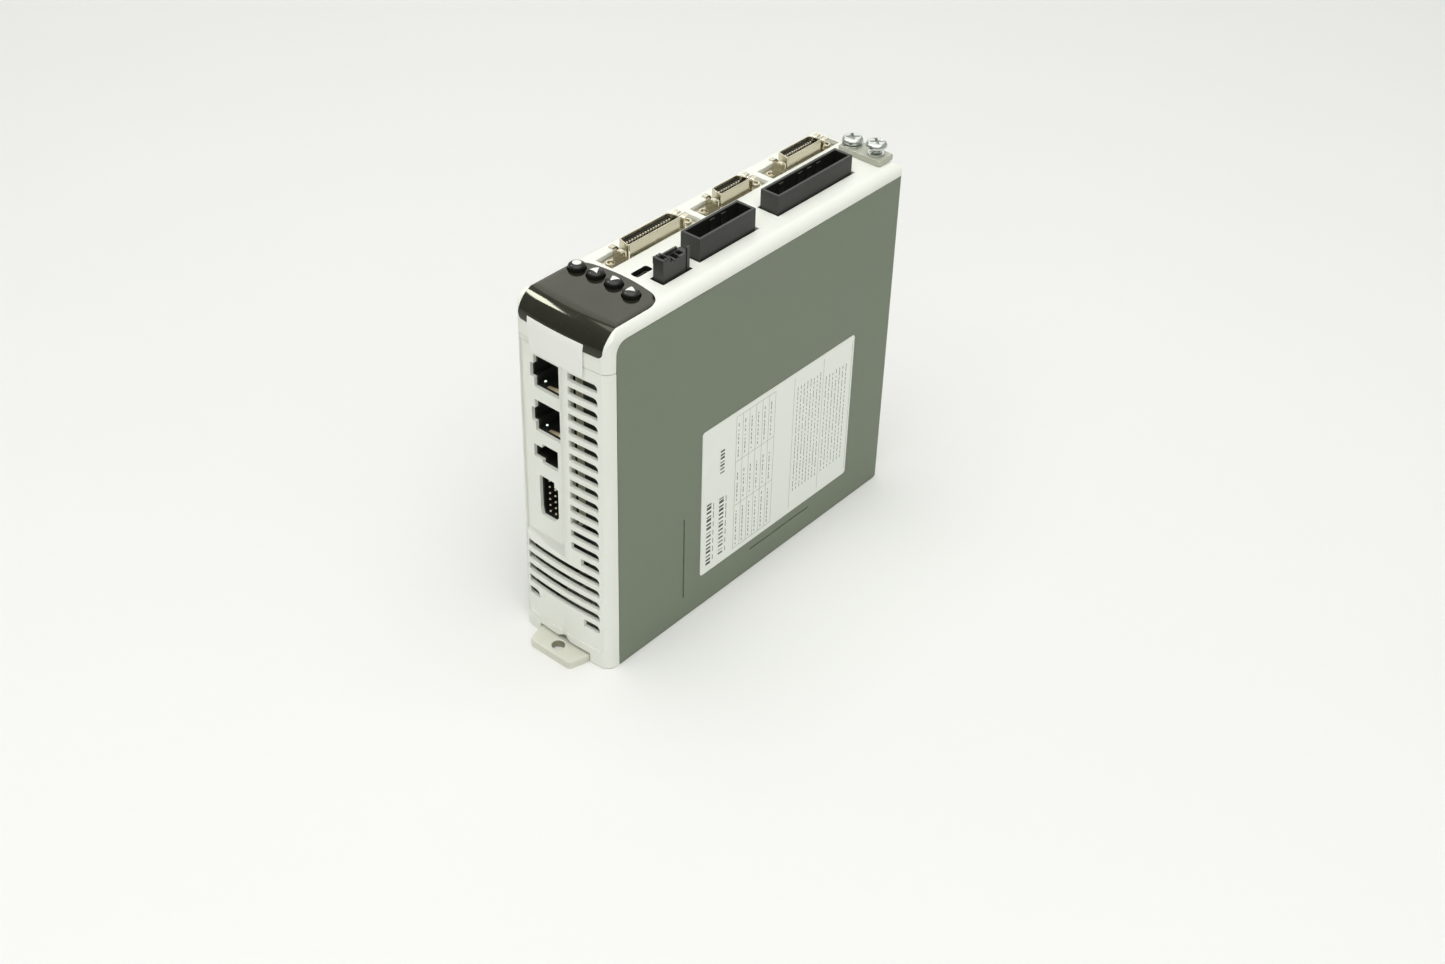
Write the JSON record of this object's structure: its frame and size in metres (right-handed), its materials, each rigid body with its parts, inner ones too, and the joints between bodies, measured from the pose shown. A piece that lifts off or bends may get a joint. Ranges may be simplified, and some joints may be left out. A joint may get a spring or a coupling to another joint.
{
  "type": "servo drive",
  "caption": "Slim upright servo drive with a bowed, slotted connector end, smoked display window with push buttons, and signal and power connectors along its front face.",
  "frame": {"origin": "on the mounting face, under the middle of the drive and its two tabs", "axes": "+X towards the labelled side, -Y towards the connector end, +Z from the mounting face to the front face"},
  "size_m": [0.041, 0.168, 0.1442],
  "materials": {
    "white_plastic": "fine-grained moulding",
    "grey_plastic": "smooth satin moulding",
    "cast_metal": "as cast, matt",
    "label_film": "silk film",
    "smoked_window": "polished smoke tint",
    "button_plastic": "semi-gloss",
    "black_plastic": "matt, glass filled",
    "nickel_shell": "nickel plated",
    "gold_contacts": "gold flash",
    "zinc_steel": "zinc plated",
    "circuit_board": "solder resist",
    "inner_plastic": "moulded",
    "capacitor_can": "sleeved",
    "winding": "ferrite and enamelled wire"
  },
  "bodies": {
    "drive": {"chassis": "cast_metal", "front_cover": "white_plastic", "near_end_cover": "white_plastic", "far_end_cover": "white_plastic", "right_side_panel": "grey_plastic", "left_side_panel": "grey_plastic", "rating_label": "label_film", "display_window": "smoked_window", "key_switches": "inner_plastic", "keypad_board": "circuit_board", "display_module": "inner_plastic", "control_board": "circuit_board", "power_board": "circuit_board", "network_jack_in": "black_plastic", "network_jack_out": "black_plastic", "network_contacts": "gold_contacts", "chain_jack": "black_plastic", "pin_header": "black_plastic", "pin_header_pins": "gold_contacts", "large_io_shell": "nickel_shell", "large_io_insert": "black_plastic", "large_io_contacts": "gold_contacts", "small_io_shell": "nickel_shell", "small_io_insert": "black_plastic", "small_io_contacts": "gold_contacts", "feedback_shell": "nickel_shell", "feedback_insert": "black_plastic", "feedback_contacts": "gold_contacts", "data_socket": "nickel_shell", "safety_header": "black_plastic", "motor_header": "black_plastic", "motor_header_pins": "zinc_steel", "mains_header": "black_plastic", "mains_header_pins": "zinc_steel", "earth_bar": "cast_metal", "flat_washers": "zinc_steel", "bus_capacitors": "capacitor_can", "power_module": "inner_plastic", "charge_relay": "inner_plastic", "supply_transformer": "winding", "line_choke": "winding", "board_spacers": "zinc_steel"},
    "mode_button": {"mode_button": "button_plastic"},
    "up_button": {"up_button": "button_plastic"},
    "down_button": {"down_button": "button_plastic"},
    "enter_button": {"enter_button": "button_plastic"},
    "lock_washer_left": {"lock_washer_left": "zinc_steel"},
    "lock_washer_right": {"lock_washer_right": "zinc_steel"},
    "earth_screw_left": {"earth_screw_left": "zinc_steel"},
    "earth_screw_right": {"earth_screw_right": "zinc_steel"},
    "safety_plug": {"safety_plug": "black_plastic"}
  },
  "joints": [
    {"name": "mode_press", "type": "slide", "parent": "drive", "child": "mode_button", "axis": [0, 0, -1], "range_m": [0, 0.0004], "stiffness_N_per_m": 400},
    {"name": "up_press", "type": "slide", "parent": "drive", "child": "up_button", "axis": [0, 0, -1], "range_m": [0, 0.0004], "stiffness_N_per_m": 400},
    {"name": "down_press", "type": "slide", "parent": "drive", "child": "down_button", "axis": [0, 0, -1], "range_m": [0, 0.0004], "stiffness_N_per_m": 400},
    {"name": "enter_press", "type": "slide", "parent": "drive", "child": "enter_button", "axis": [0, 0, -1], "range_m": [0, 0.0004], "stiffness_N_per_m": 400},
    {"name": "left_screw_rise", "type": "slide", "parent": "drive", "child": "lock_washer_left", "axis": [0, 0, 1], "range_m": [0, 0.0028]},
    {"name": "left_screw_turn", "type": "hinge", "parent": "lock_washer_left", "child": "earth_screw_left", "pos_m": [0.0009, 0.072, 0.1384], "axis": [0, 0, 1], "range_deg": [0, 1440]},
    {"name": "right_screw_rise", "type": "slide", "parent": "drive", "child": "lock_washer_right", "axis": [0, 0, 1], "range_m": [-0.00175, 0.00105]},
    {"name": "right_screw_turn", "type": "hinge", "parent": "lock_washer_right", "child": "earth_screw_right", "pos_m": [0.0112, 0.072, 0.1384], "axis": [0, 0, 1], "range_deg": [-900, 540]},
    {"name": "safety_plug_pull", "type": "slide", "parent": "drive", "child": "safety_plug", "axis": [0, 0, 1], "range_m": [0, 0.012]}
  ],
  "couplings": [
    {"joint": "left_screw_turn", "follows": "left_screw_rise", "rad_per_m": 8976},
    {"joint": "right_screw_turn", "follows": "right_screw_rise", "rad_per_m": 8976}
  ]
}
